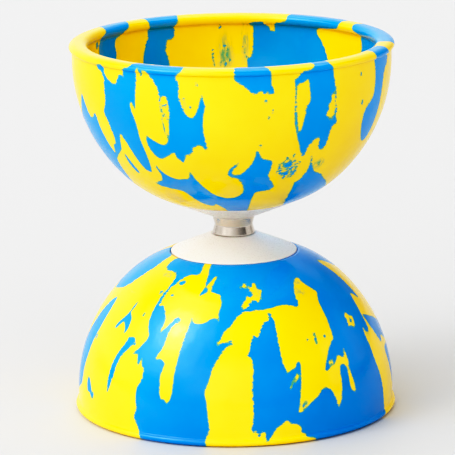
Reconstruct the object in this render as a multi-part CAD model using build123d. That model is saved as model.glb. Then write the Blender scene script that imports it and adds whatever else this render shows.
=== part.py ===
"""A rubber-cup diabolo with a fixed axle, standing on one rim with its axis upright.

The two halves are the same: each is built as a stack along its own axis, measured in millimetres from the
middle of the hub (the groove that the string runs in) out to the rim. The upper half is lifted to the middle
height, and the lower half is the same stack turned over. +Z is up and the origin is the centre of the circle
that the lower rim stands on.

From the middle outwards a half holds: half of the steel hub, the white outer fairing, the cup's floor, the
inner clamp disc, a wide washer and a lock nut with its nylon ring. One steel stud runs through everything.
"""

import os
from math import acos, asin, cos, degrees, radians, sin, sqrt

from build123d import *

# The whole object
HEIGHT = 144.6  # from rim to rim
MIDDLE = HEIGHT / 2  # height of the string groove
RIM_RADIUS = 62.5  # outside of the rolled rim

# Cup wall
CUP_RADIUS = 61.4  # spherical part, outside
CUP_CENTRE = 65.6  # centre of that sphere, from the middle of the hub
SHOULDER_RADIUS = 49.0  # tighter curve between the sphere and the fairing
SHOULDER_START = 45.0  # degrees below the sphere's equator where the shoulder begins
WALL = 3.3
CUP_HOLE_RADIUS = 10.0
CUP_FLOOR = 15.8  # inside face of the flat floor
FLOOR_BLEND = 9.0  # fillet between the floor and the inside wall

# Rolled rim: an oval bead with a narrow flat that the diabolo stands on
BEAD_WIDTH = 7.2
BEAD_HEIGHT = 3.4
BEAD_FLAT = 1.6
BEAD_ROOT_OUTSIDE = 1.1  # from the bead's widest line down to the outside wall
BEAD_ROOT_INSIDE = 2.6  # from the bead's widest line down to the inside wall
BEAD_ROOT_ROUND = 0.5  # fillet where the bead meets the outside wall

# Outer fairing
FAIRING_RADIUS = 24.4
FAIRING_EDGE = 10.2  # front of the edge, from the middle of the hub
FAIRING_BACK = 11.8  # back face, on the cup's seat
FAIRING_NOSE_RADIUS = 9.0
FAIRING_EDGE_ROUND = 0.4
FAIRING_NOSE_ROUND = 0.5
SEAT_CLEARANCE = 0.35  # gap round the fairing's edge
SPIGOT_RADIUS = 9.8  # boss that centres the cup
SPIGOT_END = 15.4
CORE_INNER = 12.5  # moulded ring-shaped hollow in the back
CORE_OUTER = 20.0
CORE_DEPTH = 2.6

# Hub
HUB_FLANGE_RADIUS = 8.2
HUB_WAIST_RADIUS = 7.35
HUB_HALF_LENGTH = 3.7  # from the middle to the fairing's face
HUB_RELIEF_HEIGHT = 0.3  # undercut that leaves a fine gap beside the fairing
HUB_RELIEF_RADIUS = 7.3
HUB_EDGE_LAND = 0.35  # narrow cylinder at each flange's edge
HUB_WAIST_ROUND = 0.8
HUB_SPIGOT_RADIUS = 6.0
HUB_SPIGOT_LENGTH = 2.5
HUB_SPIGOT_END_GAP = 0.1  # to the bottom of the fairing's counterbore

# Stud and fasteners, size M8
STUD_RADIUS = 4.0
STUD_CHAMFER = 0.8
STUD_STANDS_PROUD = 4.0  # beyond the lock nut
THREAD_CLEARANCE = 0.05
PLAIN_HOLE_RADIUS = 4.2
CLAMP_RADIUS = 21.0
CLAMP_THICKNESS = 2.8
CLAMP_ROUND = 1.0
CLAMP_DISH_RADIUS = 14.5  # shallow recess that the washer lies in
CLAMP_DISH_DEPTH = 0.6
WASHER_RADIUS = 12.0
WASHER_THICKNESS = 2.0
WASHER_ROUND = 0.3
NUT_ACROSS_FLATS = 13.0
NUT_HEIGHT = 8.0
NUT_HEX_HEIGHT = 5.8
NUT_COLLAR_RADIUS = 5.9
NUT_COLLAR_ROUND = 0.6
NUT_CHAMFER_INSET = 0.1  # inside the flats, where the chamfer's flat face starts
INSERT_RADIUS = 5.1
INSERT_HEIGHT = 1.6
INSERT_FIT = 0.02
INSERT_SUNK = 0.2  # below the nut's top

# Places along the axis that follow from the sizes above
RIM_TOP = HEIGHT / 2
BEAD_WIDEST = RIM_TOP - BEAD_HEIGHT / 2
BEAD_MIDDLE_RADIUS = RIM_RADIUS - BEAD_WIDTH / 2
WASHER_SEAT = CUP_FLOOR + CLAMP_THICKNESS - CLAMP_DISH_DEPTH
NUT_SEAT = WASHER_SEAT + WASHER_THICKNESS
NUT_TOP = NUT_SEAT + NUT_HEIGHT
INSERT_SEAT = NUT_TOP - INSERT_SUNK - INSERT_HEIGHT
STUD_END = NUT_TOP + STUD_STANDS_PROUD


def turned(*curves):
    """Solid of revolution about Z of a closed outline given as (radius, distance from the middle)."""
    outline = Wire([edge for curve in curves for edge in curve.edges()])
    return revolve(Plane.XZ * make_face(outline), Axis.Z)


def ring(inner, outer, low, high):
    """Plain washer-shaped solid."""
    return turned(Polyline((inner, low), (outer, low), (outer, high), (inner, high), close=True))


def circle_edges(solid, radius, distance):
    """The solid's round edges of that radius at that distance from the middle."""
    return [
        edge
        for edge in solid.edges().filter_by(GeomType.CIRCLE)
        if abs(edge.radius - radius) < 0.01 and abs(edge.arc_center.Z - distance) < 0.01
    ]


def arc_below(centre, radius, start, end):
    """Arc about centre, with its angles in degrees below the horizontal."""
    return CenterArc(centre, radius, -start, start - end)


def shoulder_centre():
    """Centre of the shoulder arcs, which leave the sphere where both have the same tangent."""
    angle = radians(SHOULDER_START)
    reach = CUP_RADIUS - SHOULDER_RADIUS
    return reach * cos(angle), CUP_CENTRE - reach * sin(angle)


def bead_quarter(side, flat_end, widest):
    """Quarter oval from the bead's flat to its widest line, on the outside (side 1) or the inside (side -1)."""
    start = 0 if side > 0 else 90
    return EllipticalCenterArc((flat_end, BEAD_WIDEST), abs(widest - flat_end), BEAD_HEIGHT / 2, start)


def make_cup():
    centre = (0, CUP_CENTRE)
    bend = shoulder_centre()
    seat_radius = FAIRING_RADIUS + SEAT_CLEARANCE
    outside_end = degrees(acos((seat_radius - bend[0]) / SHOULDER_RADIUS))
    inner_shoulder = SHOULDER_RADIUS - WALL
    inside_end = degrees(asin((bend[1] - CUP_FLOOR) / inner_shoulder))
    outside = CUP_RADIUS
    inside = CUP_RADIUS - WALL
    flat_outer = BEAD_MIDDLE_RADIUS + BEAD_FLAT / 2
    flat_inner = BEAD_MIDDLE_RADIUS - BEAD_FLAT / 2
    bead_inner = RIM_RADIUS - BEAD_WIDTH
    root_outside = BEAD_WIDEST - BEAD_ROOT_OUTSIDE
    root_inside = BEAD_WIDEST - BEAD_ROOT_INSIDE

    outer_sphere = arc_below(centre, outside, 0, SHOULDER_START)
    outer_shoulder = arc_below(bend, SHOULDER_RADIUS, SHOULDER_START, outside_end)
    inner_sphere = arc_below(centre, inside, 0, SHOULDER_START)
    inner_shoulder_arc = arc_below(bend, inner_shoulder, SHOULDER_START, inside_end)
    seat_edge = outer_shoulder @ 1
    floor_edge = inner_shoulder_arc @ 1
    cup = turned(
        Line((outside, root_outside), (outside, CUP_CENTRE)),
        outer_sphere,
        outer_shoulder,
        Line(seat_edge, (seat_radius, FAIRING_BACK)),
        Line((seat_radius, FAIRING_BACK), (CUP_HOLE_RADIUS, FAIRING_BACK)),
        Line((CUP_HOLE_RADIUS, FAIRING_BACK), (CUP_HOLE_RADIUS, CUP_FLOOR)),
        Line((CUP_HOLE_RADIUS, CUP_FLOOR), floor_edge),
        inner_shoulder_arc,
        inner_sphere,
        Line((inside, CUP_CENTRE), (inside, root_inside)),
        EllipticalCenterArc((inside, BEAD_WIDEST), inside - bead_inner, BEAD_ROOT_INSIDE, 180),
        bead_quarter(-1, flat_inner, bead_inner),
        Line((flat_inner, RIM_TOP), (flat_outer, RIM_TOP)),
        bead_quarter(1, flat_outer, RIM_RADIUS),
        EllipticalCenterArc((outside, BEAD_WIDEST), RIM_RADIUS - outside, BEAD_ROOT_OUTSIDE, 270),
    )
    cup = fillet(circle_edges(cup, floor_edge.X, CUP_FLOOR), FLOOR_BLEND)
    return fillet(circle_edges(cup, outside, root_outside), BEAD_ROOT_ROUND)


def make_fairing():
    counterbore = HUB_SPIGOT_RADIUS + THREAD_CLEARANCE
    counterbore_floor = HUB_HALF_LENGTH + HUB_SPIGOT_LENGTH + HUB_SPIGOT_END_GAP
    body = turned(
        Polyline(
            (counterbore, HUB_HALF_LENGTH),
            (FAIRING_NOSE_RADIUS, HUB_HALF_LENGTH),
            (FAIRING_RADIUS, FAIRING_EDGE),
            (FAIRING_RADIUS, FAIRING_BACK),
            (SPIGOT_RADIUS, FAIRING_BACK),
            (SPIGOT_RADIUS, SPIGOT_END),
            (PLAIN_HOLE_RADIUS, SPIGOT_END),
            (PLAIN_HOLE_RADIUS, counterbore_floor),
            (counterbore, counterbore_floor),
            close=True,
        )
    )
    body = fillet(circle_edges(body, FAIRING_RADIUS, FAIRING_EDGE), FAIRING_EDGE_ROUND)
    body = fillet(circle_edges(body, FAIRING_NOSE_RADIUS, HUB_HALF_LENGTH), FAIRING_NOSE_ROUND)
    return body - ring(CORE_INNER, CORE_OUTER, FAIRING_BACK - CORE_DEPTH, FAIRING_BACK)


def make_clamp_disc():
    body = ring(PLAIN_HOLE_RADIUS, CLAMP_RADIUS, CUP_FLOOR, CUP_FLOOR + CLAMP_THICKNESS)
    body = fillet(circle_edges(body, CLAMP_RADIUS, CUP_FLOOR + CLAMP_THICKNESS), CLAMP_ROUND)
    return body - ring(0, CLAMP_DISH_RADIUS, WASHER_SEAT, CUP_FLOOR + CLAMP_THICKNESS)


def make_washer():
    body = ring(PLAIN_HOLE_RADIUS, WASHER_RADIUS, WASHER_SEAT, NUT_SEAT)
    return fillet(circle_edges(body, WASHER_RADIUS, NUT_SEAT), WASHER_ROUND)


def make_lock_nut():
    """Hexagon with both faces chamfered, and a collar crimped over the nylon ring."""
    hexagon = RegularPolygon(NUT_ACROSS_FLATS / 2, 6, major_radius=False)
    corner_radius = NUT_ACROSS_FLATS / 2 / cos(radians(30))
    chamfer_start = NUT_ACROSS_FLATS / 2 - NUT_CHAMFER_INSET
    chamfer_rise = (corner_radius - chamfer_start) * sin(radians(30)) / cos(radians(30))
    hex_top = NUT_SEAT + NUT_HEX_HEIGHT
    turned_blank = turned(
        Polyline(
            (0, NUT_SEAT),
            (chamfer_start, NUT_SEAT),
            (corner_radius, NUT_SEAT + chamfer_rise),
            (corner_radius, hex_top - chamfer_rise),
            (chamfer_start, hex_top),
            (0, hex_top),
            close=True,
        )
    )
    body = extrude(Pos(0, 0, NUT_SEAT) * hexagon, NUT_HEX_HEIGHT) & turned_blank
    body += Pos(0, 0, hex_top) * extrude(Circle(NUT_COLLAR_RADIUS), NUT_HEIGHT - NUT_HEX_HEIGHT)
    body = fillet(circle_edges(body, NUT_COLLAR_RADIUS, NUT_TOP), NUT_COLLAR_ROUND)
    body -= ring(0, STUD_RADIUS + THREAD_CLEARANCE, NUT_SEAT, NUT_TOP)
    return body - ring(0, INSERT_RADIUS + INSERT_FIT, INSERT_SEAT, NUT_TOP)


def make_nut_insert():
    return ring(STUD_RADIUS + INSERT_FIT, INSERT_RADIUS, INSERT_SEAT, INSERT_SEAT + INSERT_HEIGHT)


def make_hub():
    """Polished spool: two short cones that meet in a rounded waist, each undercut beside its fairing."""
    half = HUB_HALF_LENGTH
    end = half + HUB_SPIGOT_LENGTH
    flange = half - HUB_RELIEF_HEIGHT
    land = flange - HUB_EDGE_LAND
    bore = STUD_RADIUS + THREAD_CLEARANCE
    hub = turned(
        Polyline(
            (bore, -end),
            (HUB_SPIGOT_RADIUS, -end),
            (HUB_SPIGOT_RADIUS, -half),
            (HUB_RELIEF_RADIUS, -half),
            (HUB_RELIEF_RADIUS, -flange),
            (HUB_FLANGE_RADIUS, -flange),
            (HUB_FLANGE_RADIUS, -land),
            (HUB_WAIST_RADIUS, 0),
            (HUB_FLANGE_RADIUS, land),
            (HUB_FLANGE_RADIUS, flange),
            (HUB_RELIEF_RADIUS, flange),
            (HUB_RELIEF_RADIUS, half),
            (HUB_SPIGOT_RADIUS, half),
            (HUB_SPIGOT_RADIUS, end),
            (bore, end),
            close=True,
        )
    )
    return fillet(circle_edges(hub, HUB_WAIST_RADIUS, 0), HUB_WAIST_ROUND)


def make_stud():
    stud = Pos(0, 0, -STUD_END) * extrude(Circle(STUD_RADIUS), 2 * STUD_END)
    return chamfer(stud.edges().filter_by(GeomType.CIRCLE), STUD_CHAMFER)


def upper(part):
    return Pos(0, 0, MIDDLE) * part


def lower(part):
    return Pos(0, 0, MIDDLE) * Rot(180, 0, 0) * part


def main():
    os.makedirs("parts", exist_ok=True)
    halves = {
        "cup": make_cup(),
        "fairing": make_fairing(),
        "clamp_disc": make_clamp_disc(),
        "washer": make_washer(),
        "lock_nut": make_lock_nut(),
        "nut_insert": make_nut_insert(),
    }
    nodes = {"axle_hub": upper(make_hub()), "axle_stud": upper(make_stud())}
    for name, part in halves.items():
        nodes[f"upper_{name}"] = upper(part)
        nodes[f"lower_{name}"] = lower(part)
    for name, part in nodes.items():
        export_step(part, f"parts/{name}.step")


main()
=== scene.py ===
"""A marbled rubber diabolo on a pale floor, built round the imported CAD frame.

Lengths are in millimetres up to the moment a mesh is made, and are then scaled to metres. A place on a cup is
given by two numbers: its azimuth in degrees (0 faces the camera, positive towards +X) and its distance along
the cup's surface from the top line of the rim, positive down the outside and negative down the inside.
"""

import math

import bmesh
import bpy
import numpy as np
from mathutils import Matrix, Vector


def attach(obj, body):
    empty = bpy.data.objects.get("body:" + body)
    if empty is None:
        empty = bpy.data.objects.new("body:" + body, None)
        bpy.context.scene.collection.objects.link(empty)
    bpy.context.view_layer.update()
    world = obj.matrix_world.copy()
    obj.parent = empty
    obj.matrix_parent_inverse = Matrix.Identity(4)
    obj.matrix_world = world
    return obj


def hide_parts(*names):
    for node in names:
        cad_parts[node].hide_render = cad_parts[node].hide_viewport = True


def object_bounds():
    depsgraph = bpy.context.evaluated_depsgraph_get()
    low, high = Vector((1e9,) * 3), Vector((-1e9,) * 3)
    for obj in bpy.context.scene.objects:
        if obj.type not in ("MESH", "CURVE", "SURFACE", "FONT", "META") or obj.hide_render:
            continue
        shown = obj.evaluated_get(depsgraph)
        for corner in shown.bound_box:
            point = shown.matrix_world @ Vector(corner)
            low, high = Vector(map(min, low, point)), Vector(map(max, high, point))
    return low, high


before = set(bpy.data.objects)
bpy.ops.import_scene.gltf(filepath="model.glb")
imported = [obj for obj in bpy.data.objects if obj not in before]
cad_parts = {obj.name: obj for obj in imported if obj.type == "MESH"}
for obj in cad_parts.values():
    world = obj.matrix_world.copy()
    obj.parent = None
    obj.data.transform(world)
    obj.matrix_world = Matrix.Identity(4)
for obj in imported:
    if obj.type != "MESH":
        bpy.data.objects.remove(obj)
cad_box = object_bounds()

MM = 0.001
HEIGHT = (cad_box[1][2] - cad_box[0][2]) / MM
MIDDLE = HEIGHT / 2

# ---------------------------------------------------------------- the cups' section, as in the CAD model
RIM_RADIUS = (cad_box[1][0] - cad_box[0][0]) / 2 / MM
CUP_RADIUS = 61.4
CUP_CENTRE = 65.6  # centre of the spherical part, from the middle of the hub
SHOULDER_RADIUS = 49.0
SHOULDER_START = math.radians(45)  # below the sphere's equator
WALL = 3.3
CUP_HOLE_RADIUS = 10.0
CUP_FLOOR = 15.8
FLOOR_BLEND = 9.0
SEAT_RADIUS = 24.75
SEAT_FACE = 11.8
BEAD_WIDTH = 7.2
BEAD_HEIGHT = 3.4
BEAD_FLAT = 1.6
BEAD_ROOT_ROUND = 0.5
BEAD_ROOT_INSIDE = 2.6

# Spacing of the mesh rings along the cup's surface
STEP = 0.95
BEAD_STEP = 0.35
BEAD_ROOT_STEP = 0.2
INSIDE_STEP = 1.5
DEEP_STEP = 2.6  # far down inside the bowl
FLOOR_STEP = 2.5
AROUND = 480  # mesh points round a cup

# ---------------------------------------------------------------- the stud
STUD_RADIUS = 4.0
STUD_END = 32.0
STUD_CHAMFER = 0.8
STUD_AROUND = 48
THREAD_PITCH = 1.25
THREAD_DEPTH = 0.65
THREAD_RINGS = 10  # mesh rings for each turn of the thread
THREAD_SLOPE = 2.6  # how steep the flanks are
THREAD_CREST = 0.15  # how flat the crests are


def arc(centre, radii, start, end, step=STEP):
    """Points on an oval arc after its first point, with angles in radians above the horizontal."""
    length = abs(end - start) * max(radii)
    count = max(6, round(length / step))
    angles = np.linspace(start, end, count + 1)[1:]
    return [(centre[0] + radii[0] * math.cos(a), centre[1] + radii[1] * math.sin(a)) for a in angles]


def straight(start, end, step=STEP):
    """Points on a line after its first point."""
    length = math.dist(start, end)
    count = max(1, round(length / step))
    return [
        (start[0] + (end[0] - start[0]) * i / count, start[1] + (end[1] - start[1]) * i / count)
        for i in range(1, count + 1)
    ]


def cup_section():
    """Closed outline of a cup as (radius, distance from the middle, distance along the surface)."""
    widest = MIDDLE - BEAD_HEIGHT / 2
    bead_middle = RIM_RADIUS - BEAD_WIDTH / 2
    flat_outer = bead_middle + BEAD_FLAT / 2
    flat_inner = bead_middle - BEAD_FLAT / 2
    bead_inner = RIM_RADIUS - BEAD_WIDTH
    inside = CUP_RADIUS - WALL
    reach = CUP_RADIUS - SHOULDER_RADIUS
    bend = (reach * math.cos(SHOULDER_START), CUP_CENTRE - reach * math.sin(SHOULDER_START))
    seat_angle = math.acos((SEAT_RADIUS - bend[0]) / SHOULDER_RADIUS)
    inner_bend = SHOULDER_RADIUS - WALL
    # The fillet between the floor and the inner shoulder
    blend_z = CUP_FLOOR + FLOOR_BLEND
    blend_angle = math.asin((bend[1] - blend_z) / (inner_bend - FLOOR_BLEND))
    blend_r = bend[0] + (inner_bend - FLOOR_BLEND) * math.cos(blend_angle)

    outside = [(bead_middle, MIDDLE), (flat_outer, MIDDLE)]
    outer_lip = RIM_RADIUS - flat_outer
    outside += arc((flat_outer, widest), (outer_lip, BEAD_HEIGHT / 2), math.pi / 2, 0, BEAD_STEP)
    lip = RIM_RADIUS - CUP_RADIUS
    root = math.sqrt((lip + BEAD_ROOT_ROUND) ** 2 - BEAD_ROOT_ROUND**2)
    lean = math.atan2(root, BEAD_ROOT_ROUND)
    outside += arc((CUP_RADIUS, widest), (lip, lip), 0, -lean, BEAD_ROOT_STEP)
    outside += arc(
        (CUP_RADIUS + BEAD_ROOT_ROUND, widest - root), (BEAD_ROOT_ROUND, BEAD_ROOT_ROUND),
        math.pi - lean, math.pi, BEAD_ROOT_STEP
    )
    outside += straight(outside[-1], (CUP_RADIUS, CUP_CENTRE))
    outside += arc((0, CUP_CENTRE), (CUP_RADIUS, CUP_RADIUS), 0, -SHOULDER_START)
    outside += arc(bend, (SHOULDER_RADIUS, SHOULDER_RADIUS), -SHOULDER_START, -seat_angle)

    within = [(bead_middle, MIDDLE), (flat_inner, MIDDLE)]
    inner_lip = flat_inner - bead_inner
    within += arc((flat_inner, widest), (inner_lip, BEAD_HEIGHT / 2), math.pi / 2, math.pi, BEAD_STEP)
    hook = (inside - bead_inner, BEAD_ROOT_INSIDE)
    within += arc((inside, widest), hook, math.pi, 1.5 * math.pi, BEAD_STEP)
    within += straight(within[-1], (inside, CUP_CENTRE), INSIDE_STEP)
    within += arc((0, CUP_CENTRE), (inside, inside), 0, -SHOULDER_START, INSIDE_STEP)
    within += arc(bend, (inner_bend, inner_bend), -SHOULDER_START, -blend_angle, DEEP_STEP)
    within += arc((blend_r, blend_z), (FLOOR_BLEND, FLOOR_BLEND), -blend_angle, -math.pi / 2)
    within += straight(within[-1], (CUP_HOLE_RADIUS, CUP_FLOOR), FLOOR_STEP)

    def with_distance(points, sign):
        """The points with how far along the surface each one is."""
        travelled = 0.0
        rows = [(*points[0], 0.0)]
        for before, after in zip(points, points[1:]):
            travelled += math.dist(before, after)
            rows.append((*after, sign * travelled))
        return rows

    outer = with_distance(outside, 1)
    inner = with_distance(within, -1)
    hidden = [(SEAT_RADIUS, SEAT_FACE, outer[-1][2]), (CUP_HOLE_RADIUS, SEAT_FACE, outer[-1][2])]
    return outer + hidden + inner[:0:-1]


def link(name, mesh, material):
    """A new object in the scene."""
    piece = bpy.data.objects.new(name, mesh)
    bpy.context.scene.collection.objects.link(piece)
    mesh.materials.append(material)
    return piece


def turned_mesh(name, section, sign):
    """Closed mesh of a section turned about the axle. sign is 1 for the upper half and -1 for the lower."""
    turn = np.radians(np.arange(AROUND) * 360 / AROUND)
    points = []
    for radius, distance in section:
        height = (MIDDLE + sign * distance) * MM
        points += [(radius * MM * math.sin(a), -radius * MM * math.cos(a), height) for a in turn]
    rings = len(section)
    faces = []
    for ring in range(rings):
        first, second = ring * AROUND, (ring + 1) % rings * AROUND
        if sign < 0:
            first, second = second, first
        for i in range(AROUND):
            j = (i + 1) % AROUND
            faces.append((first + j, first + i, second + i, second + j))
    mesh = bpy.data.meshes.new(name)
    mesh.from_pydata(points, [], faces)
    mesh.shade_smooth()
    return mesh


# ---------------------------------------------------------------- marbling
FAR = 8.0  # millimetres from an edge beyond which the marbling stays plain
PLACES_AT_ONCE = 2500  # places measured together, to save memory
SPECK_STRETCH = 0.7  # a speck is a little taller than wide
LOBE_REACH = 0.55  # how far the lobes of a loose blotch may reach, as a share of its size
SMEAR_REACH = 1.3  # where a smear has faded out, in half sizes from its middle

# Outlines as (azimuth, distance along the surface), painted in order over yellow.
UPPER_FRONT = [
    ("blue", "left", [
        (-92, 34), (-84, 31.5), (-78, 28.5), (-74.5, 25), (-71.8, 21.5), (-69.8, 18.8), (-68.4, 22.5),
        (-67.2, 26.8), (-65, 28.4), (-63, 27.6), (-60.5, 24.6), (-60.3, 28), (-60, 31.3), (-59, 36),
        (-58, 40), (-57, 43.2), (-55.5, 40), (-54.5, 37.6), (-53, 37.8), (-51.6, 35), (-52, 29.2),
        (-52.6, 27), (-53.8, 24.6), (-53, 22), (-51.5, 20), (-51.4, 17), (-51.2, 13), (-51.3, 10),
        (-52.5, 8), (-56.2, 6.2), (-53.5, 4.6), (-51.1, 4.4), (-51.4, 7.5), (-50, 9.7), (-46.4, 12),
        (-44.6, 11.4), (-44, 8.6), (-42.3, 7.6), (-41, 9.2), (-41.4, 6.3), (-40.9, 4.5), (-38, 4),
        (-37.4, 0.5), (-37.2, -1), (-30, -1), (-30.5, 4.4), (-35.8, 4.6), (-35.2, 8), (-35.9, 12.5),
        (-36.3, 16.7), (-36.8, 21.2), (-37.7, 17.8), (-38.8, 17.4), (-39, 20), (-37.7, 24), (-37.2, 27.5),
        (-37.2, 33), (-36.6, 37.5), (-36.5, 41.7), (-37, 45.4), (-38, 49), (-39.7, 48.4), (-41.1, 47.9),
        (-42.3, 45), (-43.7, 40), (-45.1, 35), (-46.3, 32.4), (-47.3, 31.9), (-48.3, 34.3), (-49.3, 36.9),
        (-50, 39), (-51.4, 40.4), (-54, 42), (-56.4, 43.8), (-59.3, 45.9), (-60.5, 50), (-61.5, 54),
        (-65, 59.5), (-72, 62.5), (-80, 64), (-92, 66)]),
    ("blue", "sliver", [
        (-49.8, 40.2), (-48.4, 44), (-47.2, 48), (-46.5, 51), (-48.3, 51), (-49.6, 48.3), (-50.2, 45)]),
    ("blue", "centre left", [
        (-32, -1), (-18.4, -1), (-17.4, 0.5), (-17.3, 3), (-18.6, 4.4), (-20.5, 6.6), (-19, 8.2), (-18.8, 11),
        (-19.1, 14), (-18.2, 16.8), (-17.1, 19.6), (-15.9, 21.6), (-14.3, 22.2), (-13, 20.4),
        (-11.8, 17.5), (-10.9, 13.8), (-10.7, 12.4), (-10.1, 15), (-9.4, 17.5), (-10.3, 20),
        (-10.8, 26), (-10.4, 30), (-10, 33), (-9.7, 36.2), (-11.7, 32.9), (-15, 33.8), (-16, 36.7),
        (-16.8, 38), (-18.4, 38), (-19.5, 39.6), (-19.9, 42), (-21.3, 40.8), (-22.6, 39.6), (-23, 36.9),
        (-24.8, 38), (-27.2, 39.6), (-30, 41.2), (-32.3, 39.3), (-33.7, 36.7), (-34.4, 33.2),
        (-33.8, 30.3), (-32, 32), (-29.7, 33.4), (-26.8, 34.4), (-25, 33), (-23.8, 29.2), (-23.4, 25),
        (-22.5, 20.4), (-23, 17), (-23.4, 14), (-25, 13.9), (-26.1, 15.2), (-26.3, 12.9), (-27.6, 9.6),
        (-29.6, 7), (-30.5, 5.4)]),
    ("blue", "notch", [(-33.6, 4), (-32.6, 4), (-32.8, 6.6), (-33.7, 7.6)]),
    ("yellow", "drip", [(-35, 4.8), (-34.3, 2.9), (-33.6, 4.2), (-33.4, 6.5), (-34.8, 8)]),
    ("blue", "crack", [
        (-26.3, 14.6), (-25.7, 17.5), (-25.6, 21), (-25.7, 24.5), (-25.1, 28), (-24.6, 31.4), (-25.3, 30),
        (-25.6, 27), (-26.1, 24.2), (-26, 20), (-26.2, 17)]),
    ("blue", "swoosh", [
        (-34.1, 44), (-33, 46.4), (-31.7, 48.4), (-29.2, 50.4), (-26.2, 51.6), (-22.6, 50.9), (-20.3, 50.8),
        (-19.2, 48.8), (-18.6, 46.2), (-17.6, 49), (-16.3, 52), (-13.8, 55.8), (-10.9, 59.3),
        (-7.6, 61.8), (-3.8, 63.1), (0, 62.6), (2.2, 61.8), (4, 60.4), (5, 58.4), (4.9, 56), (4.3, 53.3),
        (3, 50.6), (1, 49.2), (-1.6, 48.9), (-2.3, 46.4), (-1.7, 44.8), (-0.4, 43.4), (1.2, 42.2),
        (2.2, 41.2), (2.3, 42), (1, 43.4), (0.1, 44.6), (-0.7, 45.9), (-0.5, 47.3), (0.6, 47.9), (2.6, 47.7),
        (4.5, 46.3), (6.3, 43.8), (7.8, 41.7), (8.7, 38.8), (9.2, 35), (9.9, 36.8), (10.7, 38.9),
        (12.3, 40.4), (15.7, 40.7), (16, 43.2), (15.5, 45.9), (15, 48.2), (16.5, 51.3), (18, 53.5),
        (19.9, 55.5), (18.7, 57.4), (15.1, 58.1), (10.7, 58.6), (10.2, 61.7), (9.8, 66), (10.3, 72.5),
        (10.9, 75.8), (12.2, 82), (-5, 82), (-4.8, 77.5), (-6.8, 73.3), (-8.8, 70.8), (-10.9, 68),
        (-12.6, 70.9), (-15.5, 70.5), (-18.4, 69.2), (-20.9, 66.4), (-22.6, 63.3), (-24.5, 60.4),
        (-26.3, 58.7), (-30, 58.1), (-33.8, 57.7), (-37.6, 56.9), (-41.2, 55.6), (-38, 54.6), (-35, 53.3),
        (-33.7, 51.5), (-33.3, 49.2), (-34.4, 46)]),
    ("blue", "centre top", [
        (0.7, -2), (0.7, 4), (0.8, 6.8), (2, 8.2), (4.5, 9.8), (6.5, 12), (8, 12.9), (9, 11.8),
        (10.3, 11.5), (11.2, 13), (12, 11.8), (13, 13), (14.7, 12.8), (14.3, 10.8), (13.4, 9.3),
        (13.6, 5.8), (13.1, 3.8), (11.8, 0), (11.4, -2)]),
    ("blue", "right centre", [
        (30, -2), (30, 3.8), (24.8, 4.6), (24.4, 6.2), (23, 7.7), (21.9, 8.3), (22.3, 9.2), (22.3, 12.5),
        (22.5, 19.5), (22.8, 18), (22.8, 12.5), (23.2, 9.4), (25.5, 9.7), (26.8, 8.2), (27.6, 8.8),
        (27.8, 11.7), (28.4, 15.8), (27.8, 17.9), (26.5, 19), (26.8, 21.7), (26.2, 25), (25.7, 28.3),
        (24.8, 29.4), (24.2, 26.7), (23.3, 22.5), (22.9, 17), (22.4, 17), (22.5, 24.2), (23.6, 28.3),
        (24.8, 32), (26.7, 36.7), (28.2, 40), (29.2, 40.3), (29.8, 36.7), (30.7, 34.2), (33.8, 31.9),
        (34.7, 33.3), (34.7, 36.7), (36.3, 38.4), (37.8, 37.9), (38.6, 35.8), (38.7, 30), (39.4, 27.9),
        (41.2, 27.2), (40.2, 24.6), (40, 22.5), (39.4, 17.9), (39, 14.2), (38.2, 10), (37.6, 6.3),
        (36.8, 4.4), (35.8, 3), (36.4, 0.5), (36.6, -2)]),
    ("yellow", "flake", [
        (34.9, 23.1), (36.6, 21.5), (35.9, 19), (37.3, 18.5), (36.9, 15.6), (38.3, 14.2), (39.1, 18.2),
        (39.4, 21.7), (39.3, 23.8), (38.4, 24.4), (37.3, 24.6)]),
    ("yellow", "small flake", [(36.2, 25.2), (38.4, 24.9), (39.8, 25.6), (38.2, 25.9)]),
    ("blue", "right foot", [
        (32.6, 40.3), (33.6, 41.8), (34.7, 44.2), (37.2, 48.7), (39.7, 50.4), (43.8, 51.7), (46.3, 53.7),
        (49.3, 55.8), (52.2, 57.1), (56.3, 59.6), (61.3, 62.5), (68.8, 65.8), (81.3, 67.9), (92, 66),
        (104, 57), (118, 51), (134, 54), (150, 49), (163, 56), (166, 68), (160, 82), (48, 82), (43, 77.5),
        (38.8, 74.2), (35.9, 71.3), (33.8, 68.3), (32.2, 65), (31.5, 61.7), (30.7, 57.5), (29.8, 54.3),
        (31.7, 54.2), (33.4, 50.8), (34, 47.5), (33.7, 43.3)]),
    ("blue", "right drip", [
        (62.4, -2), (61.9, 1), (60, 4), (61, 7), (61.7, 11.7), (61.7, 20), (60, 21.8), (56.3, 25),
        (56.7, 29.2), (58, 33.3), (60.5, 37), (63.8, 39.7), (67.2, 39.3), (68.8, 35.8), (69.3, 29.2),
        (68.8, 20), (68.8, 15), (70, 11.2), (73.4, 9.2), (73.6, 6.5), (71.4, 4.2), (72.6, 1), (73.4, -2)]),
]
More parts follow.
